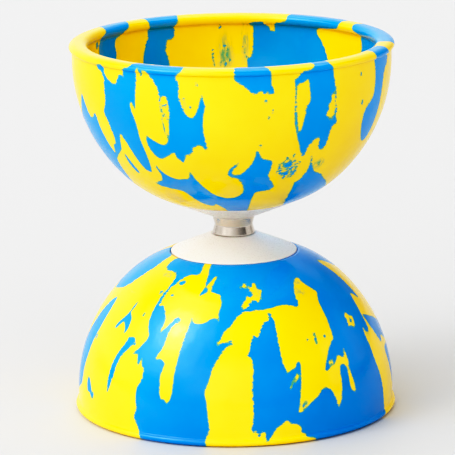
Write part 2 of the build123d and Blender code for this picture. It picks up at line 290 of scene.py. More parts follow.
# Specks of blue: azimuth, distance, radius
UPPER_SPECKS = [
    (22.6, 44.0, 1.0), (23.9, 43.6, 0.9), (21.6, 44.4, 0.6), (22.2, 48.2, 0.7), (23.4, 48.6, 0.9),
    (25.3, 47.6, 0.6), (26.8, 48.8, 0.7), (25.0, 45.8, 0.6), (27.4, 46.0, 0.5), (20.1, 46.6, 0.6),
    (19.2, 43.4, 0.4), (22.0, 40.6, 0.5), (24.6, 39.4, 0.4), (23.2, 46.0, 0.4), (24.8, 50.2, 0.4),
    (28.2, 43.4, 0.35), (19.6, 45.0, 0.5), (20.8, 42.6, 0.45), (23.4, 41.8, 0.5), (25.8, 42.0, 0.45),
    (26.6, 44.2, 0.5), (21.2, 49.0, 0.4), (24.2, 47.2, 0.5), (20.6, 47.9, 0.5), (26.2, 50.2, 0.4),
    (22.9, 50.6, 0.45), (18.9, 46.9, 0.4), (27.9, 47.8, 0.35), (11.6, 15.6, 0.45), (14.2, 19.4, 0.35),
    (12.9, 22.2, 0.35), (10.4, 33.8, 0.4), (51.8, 9.8, 0.5), (-24.2, 18.0, 0.4), (-24.5, 21.3, 0.35),
    (-23.6, 23.0, 0.35), (-17.0, 14.4, 0.35), (-14.8, 17.6, 0.35), (-12.4, 9.0, 0.4), (-46.6, 14.0, 0.35),
    (53.8, 21.2, 0.5),
]
UPPER_INSIDE = [
    ("blue", "right mouth", [
        (82.4, 0), (83, 3), (88, 9), (94, 20), (101, 31), (107, 24), (113, 12), (119, 8), (121, 1),
        (122.6, -1), (121.4, -4.6), (116.7, -6), (117.6, -8), (119.6, -9.4), (118.6, -10.6), (118.4, -14.4),
        (119.6, -18), (117, -26), (108, -31), (97, -28), (89, -20), (84, -9), (82, -4)]),
    ("blue", "back right", [
        (130, 1.5), (131, 9), (134, 17), (137, 32), (142, 38), (146, 27), (150, 14), (155, 6), (156.4, 1.5),
        (156.5, -3), (156.4, -4.6), (159.5, -5.6), (162, -6.2), (162.7, -8.7),
        (162.4, -11.1), (163, -11.8), (163.4, -11), (163.8, -11.8), (164.4, -11.4), (164.6, -9.7),
        (166.2, -9.1), (166.9, -6.9), (166.6, -5.6), (168.6, -5.5), (171.4, -6), (172.6, -6.9),
        (172.9, -8.7), (171.2, -9.4), (171, -11.2), (171.4, -12.5), (171.1, -14.4), (171.4, -18),
        (171.7, -22), (173.6, -22), (175, -18.7), (175.8, -16.2), (174.9, -20), (173.6, -23),
        (173.1, -27), (174, -36), (168, -45), (158, -41), (149, -47), (140, -38), (136, -28),
        (138, -21.5), (139, -19.4), (140.5, -16.5), (142, -13.7), (143.8, -11.9), (144.8, -9.7),
        (142, -7.8), (137, -6.6), (133.3, -6), (130.6, -5), (130, -2)]),
    ("blue", "back left", [
        (216, 1.5), (214, 10), (212, 22), (208, 30), (204, 21), (202, 9), (201.6, 1.5), (201.6, 0),
        (202.3, -4.7), (203.7, -6.2), (203, -9.4), (203, -13.6), (206.6, -13.6), (206.8, -16.2),
        (207, -18.1), (206.1, -20.6), (205.8, -25), (207.5, -33), (211, -38), (215, -34), (218.4, -27),
        (217.7, -21.9), (217.2, -18.7), (216.1, -15.6), (215.6, -13.3), (214.5, -14), (214.7, -10),
        (215, -6.2), (216.1, -4)]),
    ("blue", "left", [
        (238.6, 1.5), (239, 8), (236, 19), (231, 24), (227, 14), (223.4, 1.5), (224.7, 0), (226.8, -4.5),
        (230, -6.2), (227, -8.7), (230.4, -9.4), (232, -10.6), (232.3, -12.5), (231.3, -16.6), (233, -19),
        (231, -27), (234, -37), (241, -42), (247, -36), (245, -26), (243, -19), (242.8, -14.7), (243, -12.5),
        (242.8, -10.3), (241.3, -8.7), (243.7, -6.9), (246, -5.6), (242, -4.4), (239.6, 0)]),
    ("blue", "thread", [(187.4, -17.6), (187.7, -21), (187.2, -26), (186.7, -26), (187.1, -21)]),
]
UPPER_INSIDE_SPECKS = [
    (244.6, -10.6, 0.9), (184.4, -9.6, 0.4), (181.2, -18.2, 0.5), (182.6, -17.4, 0.4), (183.4, -19.6, 0.55),
    (181.8, -21.0, 0.6), (183.9, -22.6, 0.45), (180.6, -23.2, 0.5), (182.4, -24.6, 0.6), (184.6, -25.4, 0.4),
]

LOWER_FRONT = [
    ("blue", "ground", [
        (-36, -2), (-11, -2), (-10.8, 4.2), (-10.9, 6.3), (-10.4, 7.9), (-9.4, 8.8), (-9.7, 11.7), (-10, 15),
        (-10.5, 18.8), (-10.7, 20.8), (-11.6, 24.2), (-10.5, 27), (-9.8, 29.2), (-8.8, 33), (-7.6, 35.8),
        (-6, 38.3), (-4.2, 40.9), (-1.9, 43.1), (-4.7, 43.4), (-6.8, 42.8), (-6, 44.6), (-5.5, 46.7),
        (-3.8, 48.3), (-1.8, 50), (-0.5, 51.7), (0.3, 53.2), (2.6, 54.6), (5, 55.7), (10, 56), (14.7, 56.2),
        (19.7, 57), (25.5, 57.6), (28.8, 56.8), (31.7, 55.3), (33.4, 57.5), (33, 59.2), (33.8, 61.7),
        (36, 65), (38, 66.8), (40.9, 68.6), (43.9, 68.6), (43.4, 66.7), (45, 63.8), (47.6, 61.7),
        (48.4, 59.6), (46, 57.5), (45, 54.2), (44.9, 50), (44.3, 45), (44, 40.8), (42.6, 39.6), (40.9, 38.3),
        (39.3, 36.7), (38, 34.2), (36.5, 32), (35.3, 28.9), (37.4, 29.2), (38.4, 30.4), (40.6, 30.8),
        (41.5, 32), (43, 34.2), (44.3, 33.3), (45.9, 32.5), (46.6, 33.4), (47, 36.6), (47.9, 32), (47.8, 30),
        (47.2, 28.8), (47.8, 25.8), (48.7, 21.7), (49, 17.9), (46.5, 19.6), (46.1, 22.5), (46.3, 27.5),
        (45.9, 29.6), (43.8, 30.5), (42.3, 28.3), (42.4, 23.3), (41.8, 20), (41, 16.7), (39.8, 14.2),
        (39, 16.2), (38.4, 18.7), (36.8, 21.7), (35, 23.1), (32.6, 22.5), (31.3, 20.4), (29.7, 19.6),
        (26.3, 17), (23.9, 15), (22.4, 15), (23, 16.7), (23.7, 20.8), (24.5, 25), (24.9, 29.2), (25.6, 34),
        (24.2, 34.4), (23.4, 32), (20.9, 31.3), (19.5, 29.9), (19.2, 32), (18.4, 33.7), (18, 36.7),
        (17.8, 41.7), (17.7, 46.7), (18.1, 50.8), (17.3, 52.6), (16.5, 55.2), (15.7, 54.2), (16, 52.5),
        (15, 50.9), (13.4, 51.1), (11.7, 49.2), (10.5, 46.2), (8.8, 44.4), (8, 46.5), (6.7, 44.2),
        (5.9, 40.8), (4.5, 37.3), (6.8, 37), (6.6, 30.8), (5.9, 25), (6.3, 16.7), (5.9, 12.5), (5.4, 8.4),
        (7.2, 9.7), (7.8, 6.4), (8.8, 8.5), (10.3, 8.8), (10.5, 4.9), (11.3, 5), (14.5, 10.4), (16.5, 11.1),
        (17.9, 13), (19.3, 11.2), (22.2, 10.8), (23.9, 9), (23.3, 7.6), (25.4, 6.5), (25, 5), (27.6, 4.7),
        (29.3, 3.8), (29.3, -2), (66.4, -2), (66.4, 4), (69.4, 6.2), (68.4, 9.2), (68, 14.2), (67.6, 18.3),
        (66.3, 23.3), (65, 27.5), (64.7, 33.3), (64.2, 37.5), (65.3, 40.8), (65.9, 38.3), (69, 37.4),
        (70.2, 40.5), (70, 43.5), (71, 47.5), (72.4, 51.5), (73.6, 54), (76.4, 53), (79, 50.5), (80.5, 49.5),
        (79.8, 56.5), (80, 63), (79, 70.5), (81.5, 72), (90, 69), (96, 64), (108, 61), (120, 63), (132, 70),
        (136, 82), (-25.3, 82), (-24.3, 78.8), (-23.4, 76.3), (-23.8, 74.2), (-25.9, 72.4), (-29.7, 72.8),
        (-33, 71.8), (-35.5, 70), (-37.2, 67.9), (-39.6, 65.8), (-40.9, 63.2), (-41.5, 60), (-41.6, 55.2),
        (-41.8, 51.7), (-41, 48), (-39.7, 45.4), (-38.2, 43), (-38.8, 41.7), (-40, 39.6), (-41.3, 37.9),
        (-42.6, 36.7), (-44.2, 35.4), (-42.6, 35.3), (-41.1, 36), (-40.7, 33.3), (-40, 30.4), (-39.4, 33),
        (-38.4, 35), (-38.2, 31.4), (-37, 31.2), (-36.5, 28.8), (-37.4, 25), (-38.8, 23.3), (-38.8, 20.8),
        (-38.7, 17.5), (-38.1, 15), (-38.9, 13.3), (-39.2, 10.8), (-37.6, 9.2), (-37, 5.4), (-35.4, 4.2)]),
    ("yellow", "column", [
        (-25.4, 18.4), (-24.6, 19.6), (-23.8, 21.7), (-23.6, 25), (-23.3, 33), (-22.2, 40.8), (-21.3, 45.8),
        (-20.6, 50), (-20, 53.6), (-19.5, 50.4), (-15, 50.2), (-12.3, 51.7), (-10, 53.1), (-8.5, 52.8),
        (-7.4, 51.4), (-7.2, 53), (-8, 55), (-7, 57.5), (-6.5, 59.5), (-7.4, 61.6), (-8, 63.5),
        (-10, 64.1), (-13.4, 64.4), (-13.6, 67.5), (-11.5, 72.7), (-12.6, 73), (-14.2, 71.7),
        (-15.6, 69.2), (-17.4, 66.9), (-18.3, 70), (-18.3, 73.3), (-19.6, 76.5), (-20.2, 80.6), (-22.6, 81.6),
        (-26.2, 81), (-26.8, 78.6), (-25.2, 76.3), (-24.6, 74.2), (-25.9, 72.4), (-29.7, 72.8), (-33, 71.8),
        (-35.5, 70), (-37.2, 67.9), (-39, 65.8), (-39.3, 63), (-39.6, 60), (-39.9, 55.6), (-38, 56),
        (-36.8, 56.2), (-34.7, 53.4), (-32.6, 50), (-33.2, 47.8), (-34, 44.8), (-32, 46.5), (-30.6, 48.6),
        (-29.2, 50.2), (-28, 51.9), (-26.5, 52.3), (-25, 51), (-26.7, 50), (-28.4, 48.3), (-29.3, 46.7),
        (-29.7, 44.2), (-30, 40.8), (-30.5, 38.8), (-32, 36.7), (-32.8, 34.4), (-30.5, 35.4),
        (-28.4, 34.3), (-28, 33.7), (-28.7, 30.8), (-29.3, 28.3), (-28.8, 25), (-28.8, 22), (-27.8, 19.8),
        (-26.8, 20.6)]),
    ("blue", "fork", [
        (-19.8, 61.8), (-18, 63), (-16.4, 63.9), (-15, 64.6), (-16.6, 66.6), (-17.6, 66.8), (-18.6, 64.6)]),
    ("blue", "bean", [(-35.6, 67.2), (-34.2, 66.2), (-32.4, 66.6), (-31.3, 68), (-32.6, 69), (-34.4, 68.8)]),
    ("blue", "far left", [
        (-92, 9), (-88, 10.8), (-83, 12.5), (-79.7, 14.2), (-76.5, 16), (-76.7, 21.7), (-75.5, 27.5),
        (-74.7, 33.3), (-73.2, 39.2), (-72.5, 45), (-73.4, 50.8), (-75, 53.2), (-78, 52), (-81.3, 47.5),
        (-84.7, 40), (-88, 34), (-92, 31)]),
    ("blue", "top left", [
        (-92, 53.6), (-88, 54.6), (-83, 55.8), (-77.2, 57.5), (-73.8, 60), (-71.3, 64.2), (-68.8, 69.2),
        (-67.9, 72.5), (-70, 76.7), (-73, 79.2), (-78, 82), (-104, 82), (-110, 70), (-103, 60)]),
    ("blue", "top", [
        (-61.5, 82), (-60, 75.4), (-56.3, 73.3), (-52.2, 72.4), (-46.3, 72.7), (-42.6, 71.6),
        (-40.4, 69.6), (-40.3, 66), (-41, 62), (-39.4, 64), (-37.4, 67), (-35, 70), (-32.8, 72),
        (-29.7, 72.9), (-26.4, 72.5), (-25, 74.2), (-25.4, 76.3), (-27, 78.6), (-26.4, 82)]),
    ("blue", "worm", [
        (-53.9, 17.4), (-52.4, 21.7), (-51.4, 27.5), (-50.5, 32), (-48.4, 35), (-46.3, 37.5), (-44.5, 39.6),
        (-44.9, 41), (-46.7, 41.6), (-48, 41.1), (-49, 41), (-49.3, 38.8), (-51, 35.8), (-52.6, 33),
        (-53.7, 29.2), (-54.3, 25), (-54.4, 20.8)]),
    ("blue", "dot", [
        (-69.3, 14.8), (-67, 15.2), (-65.2, 13), (-63.9, 12.6), (-64.9, 14.6), (-65.8, 17), (-67.2, 19.2),
        (-68.7, 20.6), (-70.2, 20.2), (-70, 17.9)]),
    ("blue", "fork left", [
        (-60.8, 42.2), (-59.2, 42.8), (-57.6, 45), (-56.2, 46.6), (-55, 45.4), (-53.6, 44.2), (-52.6, 41.6),
        (-51.6, 43.3), (-51.6, 45.8), (-52.2, 48.5), (-54.6, 49.7), (-54.9, 50.8), (-54.2, 53.3),
        (-54.1, 55.4), (-55, 54.8), (-55.6, 51.7), (-56.2, 49.2), (-58.2, 46.8), (-59.8, 45)]),
    ("blue", "right patch", [
        (71, 44.6), (73, 43.9), (77, 42.6), (82, 40.6), (88, 38), (94, 36), (97, 30), (90, 29), (84, 31.4),
        (81, 33.4), (79.4, 31), (77.8, 30.8), (75.8, 33.2), (73.8, 36.6), (72.2, 40.4)]),
    ("blue", "right haze", [
        (79, 27.4), (81, 22), (82.6, 16), (84.4, 12.6), (89, 12), (96, 14), (99, 20), (93, 26), (84, 28.8)]),
    ("yellow", "ring", [
        (54.8, 43), (57.5, 43.1), (59, 41.6), (61, 43.4), (61.9, 46.6), (59.4, 46.8), (58.3, 48.8),
        (56.8, 47.8), (55.7, 46.4), (57, 45.4)]),
    ("blue", "ring's eye", [(57.6, 44.4), (59.4, 44), (60.2, 45.2), (58.8, 45.9)]),
    ("yellow", "splash", [
        (3.2, 57), (5, 56.5), (7.2, 58.6), (9, 60.7), (11, 60.6), (11.6, 59), (13, 60), (14.5, 63),
        (16, 65), (14, 65.5), (12.7, 66.2), (13.2, 68.3), (11, 69.3), (10.4, 67), (8, 66.2), (8.4, 64.6),
        (10.6, 63.8), (8.6, 61.7), (7, 62.6), (5.5, 61.8), (4.4, 59.4)]),
]
LOWER_SPECKS = [
    (-64, 14.6, 0.8), (-72.6, 36, 0.5), (-46, 51, 0.45), (-35.2, 60.8, 0.5), (-43.4, 61.8, 0.45),
    (31.0, 41.9, 0.4), (34.6, 40.6, 0.55), (34.8, 42.2, 0.55), (34.9, 43.8, 0.4), (39.6, 42.0, 0.45),
    (24.8, 17.6, 0.6), (25.8, 18.6, 0.5), (-2.0, 43.0, 0.7), (-44.2, 39.0, 0.4),
]
# Flakes of yellow in the same way
LOWER_FLAKES = [
    (6.0, 67.6, 0.8), (4.0, 67.1, 0.5), (20.4, 24.9, 0.45), (22.2, 27.4, 0.6), (23.3, 28.6, 0.8),
    (20.8, 26.4, 0.35), (24.0, 22.6, 0.4), (24.1, 20.4, 0.35), (8.6, 67.0, 0.5), (38.6, 31.6, 0.7),
    (39.6, 31.9, 0.6), (-7.0, 43.0, 0.6), (-4.4, 45.2, 0.35), (-14.6, 68.6, 0.4), (13.8, 61.4, 0.5),
]
# Streaky, half-blended smears: azimuth, distance, half width in degrees, half height, strength
UPPER_SMEARS = [
    (182.5, -21.0, 3.4, 9.0, 0.8), (174.6, -15.0, 1.8, 10.0, 0.7), (23.5, 46.0, 5.5, 6.5, 0.35),
    (-17.2, 17.0, 1.4, 4.0, 0.4), (-84.0, 25.0, 8.0, 6.0, 0.3), (-6.5, 66.6, 2.5, 1.2, 0.5),
    (38.5, 45.5, 3.5, 3.0, 0.8),
]
LOWER_SMEARS = [
    (-48.5, 70.2, 6.0, 1.8, 0.7), (37.5, 62.0, 4.5, 3.0, 0.5), (24.6, 17.4, 2.2, 2.2, 0.5),
    (39.5, 66.6, 4.0, 1.6, 0.6), (12.5, 64.5, 3.5, 4.5, 0.45), (-15.5, 67.5, 3.0, 4.5, 0.35),
    (-64.5, 58.0, 4.0, 0.9, 0.3), (67.0, 37.5, 2.2, 2.0, 0.45),
]


def rounded(outline, times=2):
    """The closed outline with its corners cut, which rounds it without overshooting."""
    points = np.array(outline, dtype=float)
    for _ in range(times):
        ahead = np.roll(points, -1, axis=0)
        points = np.stack([points * 0.75 + ahead * 0.25, points * 0.25 + ahead * 0.75], 1).reshape(-1, 2)
    return points


def depth_inside(outline, places, scale):
    """How far inside the outline each place is, in millimetres: negative outside, at most FAR either way."""
    depth = np.full(len(places), -FAR)
    middle = outline[:, 0].mean()
    azimuth = (places[:, 0] - middle + 180) % 360 - 180 + middle
    margin = FAR / scale
    near = (azimuth > outline[:, 0].min() - margin) & (azimuth < outline[:, 0].max() + margin)
    near &= (places[:, 1] > outline[:, 1].min() - FAR) & (places[:, 1] < outline[:, 1].max() + FAR)
    chosen = np.flatnonzero(near)
    start, end = outline, np.roll(outline, -1, axis=0)
    for some in np.array_split(chosen, max(1, len(chosen) // PLACES_AT_ONCE)):
        if not len(some):
            continue
        x, y, k = azimuth[some][:, None], places[some, 1][:, None], scale[some][:, None]
        ax, ay = (start[:, 0] - x) * k, start[:, 1] - y
        bx, by = (end[:, 0] - x) * k, end[:, 1] - y
        dx, dy = bx - ax, by - ay
        along = np.clip(-(ax * dx + ay * dy) / np.maximum(dx * dx + dy * dy, 1e-9), 0, 1)
        gap = np.sqrt((ax + along * dx) ** 2 + (ay + along * dy) ** 2).min(1)
        crossing = (ay > 0) != (by > 0)
        meets = ax - ay * dx / np.where(crossing, dy, 1) > 0
        inside = (crossing & meets).sum(1) % 2 == 1
        depth[some] = np.clip(np.where(inside, gap, -gap), -FAR, FAR)
    return depth


def loose_blotch(random, azimuth, distance, half_width, half_height):
    """A long blotch with uneven lobes, for the sides of the cups that have no outline of their own."""
    turn = np.linspace(0, 2 * math.pi, 36, endpoint=False)
    reach = np.ones_like(turn)
    for lobes in range(2, 9):
        size = random.uniform(-1, 1) * LOBE_REACH / lobes
        reach += size * np.cos(lobes * turn + random.uniform(0, 2 * math.pi))
    reach = np.maximum(reach, 0.25)
    across = azimuth + half_width * reach * np.cos(turn)
    along = distance + half_height * reach * np.sin(turn)
    return np.stack([across, along], 1)


def paint(places, scale, layers, specks, flakes):
    """Distance from the nearest edge between the colours: positive in blue, negative in yellow."""
    field = np.full(len(places), -FAR)
    for colour, _, outline in layers:
        depth = depth_inside(rounded(outline), places, scale)
        field = np.maximum(field, depth) if colour == "blue" else np.minimum(field, -depth)
    for colour, spots in (("blue", specks), ("yellow", flakes)):
        for azimuth, distance, radius in spots:
            across = ((places[:, 0] - azimuth + 180) % 360 - 180) * scale
            depth = radius - np.hypot(across, (places[:, 1] - distance) * SPECK_STRETCH)
            field = np.maximum(field, depth) if colour == "blue" else np.minimum(field, -depth)
    return field


def smear(places, smears):
    """How much loose blue lies on the yellow at each place, fading out round each smear."""
    amount = np.zeros(len(places))
    for azimuth, distance, half_width, half_height, strength in smears:
        across = ((places[:, 0] - azimuth + 180) % 360 - 180) / half_width
        away = np.hypot(across, (places[:, 1] - distance) / half_height)
        amount = np.maximum(amount, strength * np.clip(SMEAR_REACH - away, 0, 1))
    return amount


def scattered(seed, azimuths, shift, side, distances, widths, heights, islands):
    """Blue blotches near the azimuths, some with a yellow island, where a cup has no outlines of its own.

    side is 1 outside and -1 inside. islands holds how likely one is, its shift along, its widths and heights.
    """
    random = np.random.default_rng(seed)
    chance, island_shift, island_widths, island_heights = islands
    layers = []
    for azimuth in azimuths:
        where = azimuth + random.uniform(-shift, shift)
        distance = side * random.uniform(*distances)
        size = random.uniform(*widths), random.uniform(*heights)
        layers.append(("blue", "scattered", loose_blotch(random, where, distance, *size)))
        if random.uniform() < chance:
            where += random.uniform(-4, 4)
            distance += random.uniform(-island_shift, island_shift)
            size = random.uniform(*island_widths), random.uniform(*island_heights)
            layers.append(("yellow", "island", loose_blotch(random, where, distance, *size)))
    return layers


def back_layers(seed):
    """Blotches for the far side of a cup's outside."""
    islands = (0.75, 8, (1.5, 4), (4, 11))
    return scattered(seed, range(104, 262, 13), 3, 1, (30, 66), (5, 11), (10, 16), islands)


def inside_layers(seed, azimuths, deepest):
    """Blotches for the rest of a cup's inside."""
    islands = (0.6, 7, (2, 4), (3, 8))
    return scattered(seed, azimuths, 5, -1, (12, deepest), (6, 13), (10, 22), islands)


# ---------------------------------------------------------------- materials
YELLOWS = ((0.94, 0.62, 0.018, 1), (0.98, 0.67, 0.024, 1))
# Painted shade: a darker copy of the blue for low down on the right, where less light falls, and the lit copy
# for elsewhere
SHADED_BLUES = ((0.0, 0.205, 0.58, 1), (0.003, 0.225, 0.63, 1))  # low down on the right
LIT_BLUES = ((0.0, 0.278, 0.72, 1), (0.003, 0.305, 0.77, 1))
MIXED_GREEN = (0.10, 0.36, 0.18, 1)  # where the two colours run together
EDGE_BLEND = 0.45  # millimetres either side of an edge where they do
TEAR = 1.9  # how far noise moves the edges, in millimetres
FINE_TEAR = 0.95
SMEAR_STAIN = 0.52  # a smear's deepest stain, where 0.5 is green and 1 is blue


class Nodes:
    """Short calls for building a material's node tree."""

    def __init__(self, name):
        self.material = bpy.data.materials.new(name)
        self.material.use_nodes = True
        self.tree = self.material.node_tree
        self.shader = self.tree.nodes["Principled BSDF"]

    def add(self, kind, settings=None, **inputs):
        node = self.tree.nodes.new(kind)
        for key, value in (settings or {}).items():
            setattr(node, key, value)
        for key, value in inputs.items():
            self.feed(node.inputs[key.replace("_", " ")], value)
        return node

    def feed(self, socket, value):
        if isinstance(value, bpy.types.NodeSocket):
            self.tree.links.new(value, socket)
        else:
            socket.default_value = value

    def math(self, operation, first, second=0.0, third=0.0):
        node = self.add("ShaderNodeMath", {"operation": operation})
        for socket, value in zip(node.inputs, (first, second, third)):
            self.feed(socket, value)
        return node.outputs[0]

    def remap(self, value, low, high, to_low=0.0, to_high=1.0):
        node = self.add("ShaderNodeMapRange", {"interpolation_type": "SMOOTHSTEP"})
        self.feed(node.inputs["Value"], value)
        for key, limit in (("From Min", low), ("From Max", high), ("To Min", to_low), ("To Max", to_high)):
            node.inputs[key].default_value = limit
        return node.outputs[0]

    def mix(self, factor, first, second):
        node = self.add("ShaderNodeMix", {"data_type": "RGBA"})
        self.feed(node.inputs["Factor"], factor)
        self.feed(node.inputs[6], first)
        self.feed(node.inputs[7], second)
        return node.outputs[2]

    def place(self, scale=(1, 1, 1)):
        """Object coordinates in millimetres, stretched by scale."""
        where = self.add("ShaderNodeTexCoord")
        node = self.add("ShaderNodeMapping")
        self.feed(node.inputs["Vector"], where.outputs["Object"])
        node.inputs["Scale"].default_value = tuple(s / MM for s in scale)
        return node.outputs[0]

    def noise(self, scale, vector, detail=3.0, roughness=0.5):
        node = self.add("ShaderNodeTexNoise", Scale=scale, Detail=detail, Roughness=roughness, Vector=vector)
        return node.outputs[0]

    def bump(self, height, distance, strength):
        """A normal from a height of 0 to 1 that stands for distance in millimetres."""
        node = self.add("ShaderNodeBump", Strength=strength, Distance=distance * MM, Height=height)
        return node.outputs[0]

    def set(self, **values):
        for key, value in values.items():
            self.feed(self.shader.inputs[key.replace("_", " ")], value)


def stain(n, here):
    """How blue the rubber is: 0 yellow, 0.5 green, 1 blue. Noise tears the edges and streaks the smears."""
    edge = n.add("ShaderNodeAttribute", {"attribute_name": "marble"}).outputs["Fac"]
    blend = n.add("ShaderNodeAttribute", {"attribute_name": "smear"}).outputs["Fac"]
    squat = n.place((1.0, 1.0, 2.2))
    tear = n.math("MULTIPLY", n.math("SUBTRACT", n.noise(0.55, squat, 4.0, 0.6), 0.5), TEAR)
    fine = n.math("SUBTRACT", n.noise(1.8, squat, 3.0, 0.6), 0.5)
    tear = n.math("MULTIPLY_ADD", fine, FINE_TEAR, tear)
    where_torn = n.remap(n.noise(0.06, here, 2.0), 0.4, 0.62, 0.4, 1.2)
    edge = n.math("MULTIPLY_ADD", tear, where_torn, edge)
    streaks = n.noise(0.85, n.place((1.0, 1.0, 0.16)), 4.0, 0.7)
    loose = n.math("MULTIPLY", blend, n.remap(streaks, 0.33, 0.6))
    return n.math("MAXIMUM", n.remap(edge, -EDGE_BLEND, EDGE_BLEND), n.math("MULTIPLY", loose, SMEAR_STAIN))


def rubber():
    """Yellow rubber marbled with blue, with painted shade darkening the blue low down on the right, under a
    clear, slightly uneven shine.
    """
    n = Nodes("marbled_rubber")
    here = n.place()
    cloud = n.remap(n.noise(0.035, here, 3.0, 0.55), 0.3, 0.7)
    axes = n.add("ShaderNodeSeparateXYZ", Vector=here)
    # Painted shade: by position along X and Z, the blue turns to its darker copy towards low down on the
    # right
    painted_shade_mix = n.remap(n.math("MULTIPLY_ADD", axes.outputs["X"], -0.4, axes.outputs["Z"]), -20, 80)
    blue = n.mix(painted_shade_mix, n.mix(cloud, *SHADED_BLUES), n.mix(cloud, *LIT_BLUES))
    stained = stain(n, here)
    yellow_to_green = n.mix(n.remap(stained, 0.0, 0.5), n.mix(cloud, *YELLOWS), MIXED_GREEN)
    n.set(Base_Color=n.mix(n.remap(stained, 0.5, 1.0), yellow_to_green, blue))

    skin = n.noise(0.9, here, 4.0, 0.6)
    ripple = n.noise(0.22, here, 2.0)
    swell = n.noise(0.07, here, 2.0)
    relief = n.math("MULTIPLY_ADD", skin, 0.12, n.math("MULTIPLY_ADD", ripple, 0.3, swell))
    n.set(Normal=n.bump(relief, 0.25, 0.5))
    n.set(Coat_Normal=n.bump(n.math("MULTIPLY_ADD", ripple, 0.5, swell), 0.35, 0.6))
    handled = n.noise(0.13, here, 3.0, 0.6)
    n.set(Roughness=n.remap(handled, 0.35, 0.65, 0.30, 0.42))
    n.set(Specular_IOR_Level=0.0, Coat_Weight=0.9, Coat_Roughness=0.16)
    return n.material


def white_plastic():
    """Satin moulded plastic, a slightly warm white."""
    n = Nodes("white_plastic")
    here = n.place()
    cloud = n.noise(0.12, here, 2.0)
    n.set(Base_Color=n.mix(cloud, (0.77, 0.72, 0.655, 1), (0.81, 0.76, 0.695, 1)))
    grain = n.noise(2.2, here, 3.0)
    n.set(Roughness=n.remap(grain, 0.2, 0.8, 0.24, 0.36))
    n.set(Normal=n.bump(grain, 0.02, 0.4))
    n.set(Subsurface_Weight=0.15, Subsurface_Scale=0.003)
    return n.material


def polished_steel():
    """Turned and polished steel with faint lathe lines round the axle."""
    n = Nodes("polished_steel")
    lines = n.noise(9.0, n.place((0.02, 0.02, 1.0)), 3.0, 0.7)
    spots = n.noise(0.5, n.place(), 3.0)
    n.set(Base_Color=n.mix(spots, (0.65, 0.585, 0.51, 1), (0.70, 0.63, 0.555, 1)), Metallic=1.0)
    n.set(Roughness=n.remap(lines, 0.3, 0.7, 0.12, 0.24))
    n.set(Normal=n.bump(lines, 0.012, 0.6))
    return n.material


def zinc_steel(name, scale=1.0):
    """Bright zinc plating with cloudy, slightly warm and cool patches."""
    n = Nodes(name)
    here = n.place()
    spangle = n.noise(0.7 * scale, here, 4.0, 0.65)
    n.set(Base_Color=n.mix(spangle, (0.50, 0.52, 0.55, 1), (0.68, 0.67, 0.62, 1)), Metallic=1.0)
    n.set(Roughness=n.remap(n.noise(3.0 * scale, here, 3.0), 0.25, 0.75, 0.24, 0.42))
    n.set(Normal=n.bump(spangle, 0.03, 0.3))
    return n.material


def nylon():
    """Blue nylon for the rings in the lock nuts."""
    n = Nodes("blue_nylon")
    grain = n.noise(2.0, n.place(), 3.0)
    n.set(Base_Color=n.mix(grain, (0.02, 0.10, 0.42, 1), (0.04, 0.15, 0.52, 1)))
    n.set(Roughness=n.remap(grain, 0.2, 0.8, 0.4, 0.55))
    return n.material


# ---------------------------------------------------------------- pieces
def make_cup(half, sign, material, layers, specks, flakes, smears):
    """A turned cup whose points carry the marbling. sign is 1 for the upper half and -1 for the lower."""
    section = cup_section()
    mesh = turned_mesh(f"{half}_rubber_cup", [(r, z) for r, z, _ in section], sign)
    azimuth = np.tile(np.arange(AROUND) * 360 / AROUND, len(section))
    distance = np.repeat([s for _, _, s in section], AROUND)
    radius = np.repeat([r for r, _, _ in section], AROUND)
    places = np.stack([azimuth, distance], 1)
    scale = radius * math.pi / 180
    marble = paint(places, scale, layers, specks, flakes)
    for name, values in (("marble", marble), ("smear", smear(places, smears))):
        attribute = mesh.attributes.new(name, "FLOAT", "POINT")
        attribute.data.foreach_set("value", values.astype(np.float32))
    piece = link(f"{half}_rubber_cup", mesh, material)
    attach(piece, "root")
    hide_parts(f"{half}_cup")


def make_stud(material):
    """The stud with a real rolled thread, cut off by its chamfers."""
    rings = round(2 * STUD_END / THREAD_PITCH * THREAD_RINGS)
    turn = np.arange(STUD_AROUND) / STUD_AROUND
    points = []
    for ring in range(rings + 1):
        height = -STUD_END + 2 * STUD_END * ring / rings
        chamfered = STUD_RADIUS - max(0.0, STUD_CHAMFER - (STUD_END - abs(height)))
        phase = (height / THREAD_PITCH - turn) % 1
        depth = THREAD_DEPTH * np.clip(np.abs(phase - 0.5) * THREAD_SLOPE - THREAD_CREST, 0, 1)
        for part, radius in zip(turn, np.minimum(STUD_RADIUS - depth, chamfered)):
            angle = 2 * math.pi * part
            across, towards = radius * MM * math.sin(angle), -radius * MM * math.cos(angle)
            points.append((across, towards, (MIDDLE + height) * MM))
    low_end = tuple(range(STUD_AROUND))
    high_end = tuple(rings * STUD_AROUND + i for i in range(STUD_AROUND))
    faces = [low_end, high_end[::-1]]
    for ring in range(rings):
        low, high = ring * STUD_AROUND, (ring + 1) * STUD_AROUND
        for i in range(STUD_AROUND):
            j = (i + 1) % STUD_AROUND
            faces.append((low + i, low + j, high + j, high + i))
    mesh = bpy.data.meshes.new("threaded_stud")
    mesh.from_pydata(points, [], faces)
    outward = bmesh.new()
    outward.from_mesh(mesh)
    bmesh.ops.recalc_face_normals(outward, faces=outward.faces)
    outward.to_mesh(mesh)
    outward.free()
    mesh.shade_smooth()
    piece = link("threaded_stud", mesh, material)
    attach(piece, "root")
    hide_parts("axle_stud")


def recolour(node, material):
    """Give a CAD node's object a better material."""
    mesh_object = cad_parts[node]
    mesh_object.data.materials.clear()
    mesh_object.data.materials.append(material)


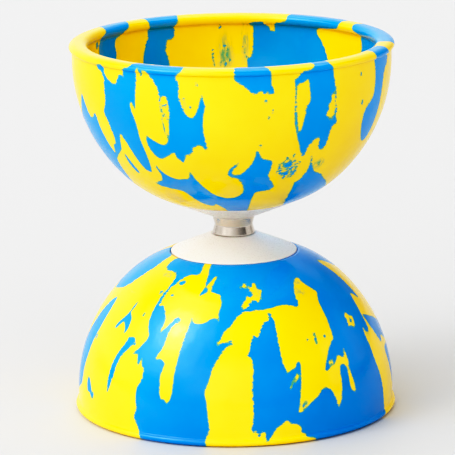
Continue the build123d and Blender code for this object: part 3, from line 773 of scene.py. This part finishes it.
def make_cups():
    """Both cups. The upper one's inside has its own outlines only at the back."""
    material = rubber()
    upper = back_layers(11) + UPPER_FRONT + UPPER_INSIDE
    upper += inside_layers(12, [*range(-60, 75, 24), 255, 280], 52)
    make_cup("upper", 1, material, upper, UPPER_SPECKS + UPPER_INSIDE_SPECKS, [], UPPER_SMEARS)
    lower = back_layers(27) + LOWER_FRONT + inside_layers(31, range(0, 360, 26), 56)
    make_cup("lower", -1, material, lower, LOWER_SPECKS, LOWER_FLAKES, LOWER_SMEARS)


# ---------------------------------------------------------------- floor, lights, camera
FLOOR_SIZE = 12.0  # metres
FLOOR_GREY = 0.63

# The diffuse light of the tent, by the direction that it comes from
TENT_LEFT = 1.49
TENT_RIGHT = 0.89
TENT_FRONT = 0.83  # added on the camera's side
TENT_TOP = 0.67  # share that is left overhead
TENT_HIGH_RIGHT = 0.26  # taken away high up on the right
PANEL_SHADE = (0.9, -0.55)  # slope and start of how the panels change the tent's light low down

# What reflections see: dark in front, the white backdrop behind, panels low all round and two softboxes
ROOM_FRONT = 0.03
ROOM_BACK = 1.0
BACKDROP = (0.3, 0.85)  # where the dark changes to the backdrop, along +Y
LOW_BAND = (0.0, 0.1, 0.42, 0.6)  # heights where the band of panels starts and ends
PANEL_GLOSS = 1.2
# Bright and dark panels: degrees from the camera's side, brightness
PANELS = [
    (-180, 0.95), (-126, 0.90), (-93, 0.80), (-67, 0.52), (-45, 0.70), (-25, 1.0), (-5, 0.70), (14, 0.55),
    (33, 0.34), (54, 0.20), (72, 0.12), (76, 0.66), (112, 0.68), (128, 0.25), (155, 0.30), (180, 0.95),
]
KEY_DIRECTION = (-0.628, -0.304, 0.716)
KEY_EDGE = (0.80, 0.95)  # cosines of the angles from its middle where the softbox fades out and is full
KEY_GLOSS = 2.2
OVERHEAD_DIRECTION = (0.0, 0.30, 0.954)
OVERHEAD_EDGE = (0.83, 0.94)
OVERHEAD_GLOSS = 2.4

# The lamps in the key's direction: name, strength, degrees across
KEY_LAMPS = [("key", 0.25, 31), ("middle of the key", 0.05, 10)]
# A small lamp for the blue light that the cups bounce onto the lower fairing
GLOW_WATTS = 0.0007
GLOW_SIZE = 0.008
GLOW_COLOUR = (0.1, 0.5, 1.0)
GLOW_PLACE = (15.0, -1.0, 5.4)  # from the middle of the hub, in millimetres
GLOW_FACES_AWAY_FROM = (-0.2, 0.0, 1.0)

CAMERA_DISTANCE = 1.400
CAMERA_ELEVATION = 13.3
CAMERA_ROLL = -0.70
CAMERA_LENS = 285.4
CAMERA_AIM = (-2.4, 0.0, -1.75)  # from the middle of the hub, in millimetres

# Light in the scene that the picture shows as black and as white, and what it shows in between
BLACK = 0.042
WHITE = 1.3
FILM_CURVE = [(0.138, 0.06), (0.2815, 0.205), (0.425, 0.395), (0.617, 0.63), (0.808, 0.825), (1.0, 0.94)]


def make_floor():
    """A pale floor, far wider than the view."""
    half = FLOOR_SIZE / 2
    mesh = bpy.data.meshes.new("floor")
    corners = [(-half, -half, 0), (half, -half, 0), (half, half, 0), (-half, half, 0)]
    mesh.from_pydata(corners, [], [(0, 1, 2, 3)])
    n = Nodes("pale_floor")
    n.set(Base_Color=(FLOOR_GREY, FLOOR_GREY, FLOOR_GREY, 1), Roughness=0.6)
    link("floor", mesh, n.material)


def from_hub(offset):
    """A place in metres, given in millimetres from the middle of the hub."""
    return Vector((offset[0] * MM, offset[1] * MM, (MIDDLE + offset[2]) * MM))


def softbox(name, direction, strength, across):
    """A soft light that is the same everywhere on the floor: across is how wide it looks, in degrees."""
    lamp = bpy.data.lights.new(name, "SUN")
    lamp.energy = strength * math.pi
    lamp.angle = math.radians(across)
    light = bpy.data.objects.new(name, lamp)
    bpy.context.scene.collection.objects.link(light)
    light.rotation_euler = Vector(direction).to_track_quat("Z", "Y").to_euler()


def make_room():
    """The world: a white light tent for diffuse light, and a darker room with softboxes for reflections."""
    world = bpy.data.worlds.new("studio")
    bpy.context.scene.world = world
    world.use_nodes = True
    tree = world.node_tree
    direction = tree.nodes.new("ShaderNodeTexCoord")
    axes = tree.nodes.new("ShaderNodeSeparateXYZ")
    tree.links.new(direction.outputs["Generated"], axes.inputs[0])
    x, y, z = axes.outputs

    def slope(value, low, high, to_low, to_high):
        node = tree.nodes.new("ShaderNodeMapRange")
        node.interpolation_type = "SMOOTHSTEP"
        tree.links.new(value, node.inputs["Value"])
        for key, limit in (("From Min", low), ("From Max", high), ("To Min", to_low), ("To Max", to_high)):
            node.inputs[key].default_value = limit
        return node.outputs[0]

    def calculate(operation, *values):
        node = tree.nodes.new("ShaderNodeMath")
        node.operation = operation
        for socket, value in zip(node.inputs, values):
            if isinstance(value, bpy.types.NodeSocket):
                tree.links.new(value, socket)
            else:
                socket.default_value = value
        return node.outputs[0]

    def blend(factor, first, second):
        node = tree.nodes.new("ShaderNodeMix")
        tree.links.new(factor, node.inputs["Factor"])
        tree.links.new(first, node.inputs[2])
        tree.links.new(second, node.inputs[3])
        return node.outputs[0]

    def towards(target):
        node = tree.nodes.new("ShaderNodeVectorMath")
        node.operation = "DOT_PRODUCT"
        tree.links.new(direction.outputs["Generated"], node.inputs[0])
        node.inputs[1].default_value = target
        return node.outputs["Value"]

    turn = calculate("ARCTAN2", x, calculate("MULTIPLY", y, -1.0))
    panels = tree.nodes.new("ShaderNodeValToRGB")
    tree.links.new(calculate("MULTIPLY_ADD", turn, 0.5 / math.pi, 0.5), panels.inputs[0])
    stops = panels.color_ramp.elements
    for azimuth, _ in PANELS[1:-1]:
        stops.new(azimuth / 360 + 0.5)
    for stop, (azimuth, brightness) in zip(stops, PANELS):
        stop.position = azimuth / 360 + 0.5
        stop.color = (brightness, brightness, brightness, 1)
    low_band = calculate("MULTIPLY", slope(z, *LOW_BAND[:2], 0, 1), slope(z, *LOW_BAND[2:], 1, 0))
    glossy_panels = calculate("MULTIPLY", panels.outputs[0], PANEL_GLOSS)
    around = blend(low_band, slope(y, *BACKDROP, ROOM_FRONT, ROOM_BACK), glossy_panels)
    around = calculate("ADD", around, slope(towards(KEY_DIRECTION), *KEY_EDGE, 0, KEY_GLOSS))
    around = calculate("ADD", around, slope(towards(OVERHEAD_DIRECTION), *OVERHEAD_EDGE, 0, OVERHEAD_GLOSS))

    # Each slope runs between two values of the direction's x, y or z
    tent = calculate("ADD", slope(x, -0.8, 0.8, TENT_LEFT, TENT_RIGHT), slope(y, -0.9, 0.1, TENT_FRONT, 0))
    drop = calculate("MULTIPLY", slope(x, 0.0, 0.7, 0, TENT_HIGH_RIGHT), slope(z, 0.2, 0.6, 0, 1))
    tent = calculate("MULTIPLY", calculate("SUBTRACT", tent, drop), slope(z, 0.4, 0.95, 1, TENT_TOP))
    shade = calculate("MULTIPLY_ADD", panels.outputs[0], *PANEL_SHADE)
    shade = calculate("MULTIPLY_ADD", low_band, shade, 1.0)
    path = tree.nodes.new("ShaderNodeLightPath")
    seen = blend(path.outputs["Is Glossy Ray"], calculate("MULTIPLY", tent, shade), around)
    background = tree.nodes["Background"]
    background.inputs["Color"].default_value = (1, 1, 1, 1)
    tree.links.new(seen, background.inputs["Strength"])


def make_lights():
    """The tent, the key lamps and the small blue glow."""
    make_room()
    for name, strength, across in KEY_LAMPS:
        softbox(name, KEY_DIRECTION, strength, across)
    glow = bpy.data.lights.new("blue glow between the cups", "AREA")
    glow.energy = GLOW_WATTS
    glow.size = GLOW_SIZE
    glow.color = GLOW_COLOUR
    light = bpy.data.objects.new("blue glow between the cups", glow)
    bpy.context.scene.collection.objects.link(light)
    place = from_hub(GLOW_PLACE)
    turn = Vector(GLOW_FACES_AWAY_FROM).to_track_quat("Z", "Y").to_matrix().to_4x4()
    light.matrix_world = Matrix.Translation(place) @ turn
    light.visible_camera = False
    light.visible_glossy = False


def make_camera():
    """A long lens a little above the object, rolled slightly."""
    elevation = math.radians(CAMERA_ELEVATION)
    camera = bpy.data.cameras.new("camera")
    camera.lens = CAMERA_LENS
    camera.sensor_width = 36.0
    camera.clip_start = 0.05
    aim = from_hub(CAMERA_AIM)
    back = Vector((0, -math.cos(elevation), math.sin(elevation)))
    place = aim + back * CAMERA_DISTANCE
    holder = bpy.data.objects.new("camera", camera)
    bpy.context.scene.collection.objects.link(holder)
    look = (aim - place).to_track_quat("-Z", "Y").to_matrix().to_4x4()
    roll = Matrix.Rotation(math.radians(CAMERA_ROLL), 4, "Z")
    holder.matrix_world = Matrix.Translation(place) @ look @ roll
    bpy.context.scene.camera = holder


def grade_picture():
    """Plain sRGB through a film curve: deeper blacks and softer highlights."""
    view = bpy.context.scene.view_settings
    view.view_transform = "Standard"
    view.use_curve_mapping = True
    mapping = view.curve_mapping
    all_channels = mapping.curves[3]
    mapping.black_level = (BLACK, BLACK, BLACK)
    mapping.white_level = (WHITE, WHITE, WHITE)
    for light, shown in FILM_CURVE:
        all_channels.points.new((light - BLACK) / (WHITE - BLACK), shown)
    mapping.update()


make_camera()
make_floor()
make_lights()
make_cups()
plastic = white_plastic()
zinc = zinc_steel("zinc_plate")
ring_nylon = nylon()
for half in ("upper", "lower"):
    recolour(f"{half}_fairing", plastic)
    recolour(f"{half}_clamp_disc", plastic)
    recolour(f"{half}_washer", zinc)
    recolour(f"{half}_lock_nut", zinc)
    recolour(f"{half}_nut_insert", ring_nylon)
recolour("axle_hub", polished_steel())
make_stud(zinc_steel("stud_zinc", 1.6))
grade_picture()
